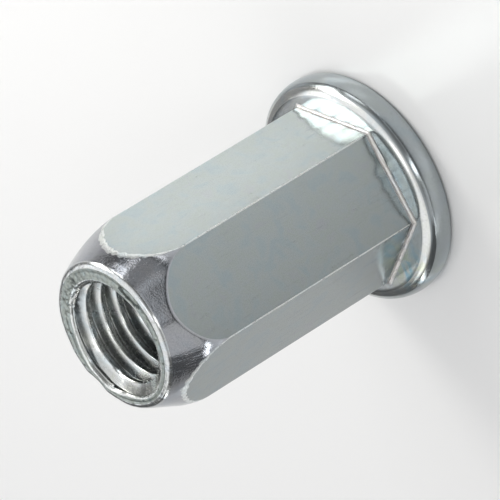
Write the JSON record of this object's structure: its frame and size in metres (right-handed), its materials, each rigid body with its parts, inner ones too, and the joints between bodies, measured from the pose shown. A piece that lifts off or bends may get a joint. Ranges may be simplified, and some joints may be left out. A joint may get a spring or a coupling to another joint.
{
  "type": "rivet nut",
  "caption": "Open-end blind rivet nut with a flat round flange, a full hexagonal shank, a tapered nose and an internal metric thread.",
  "frame": {"origin": "centre of the flange's flat outer face, on the bore axis", "axes": "+Z along the bore axis from the flange to the nose; two corners of the hexagon lie on X, two flats face +Y and -Y"},
  "size_m": [0.0184, 0.0184, 0.0263],
  "materials": {
    "zinc_plated_steel": "bright zinc plate with a clear bluish passivation, faintly mottled and iridescent"
  },
  "bodies": {
    "root": {"rivet_nut_body": "zinc_plated_steel"}
  },
  "joints": []
}
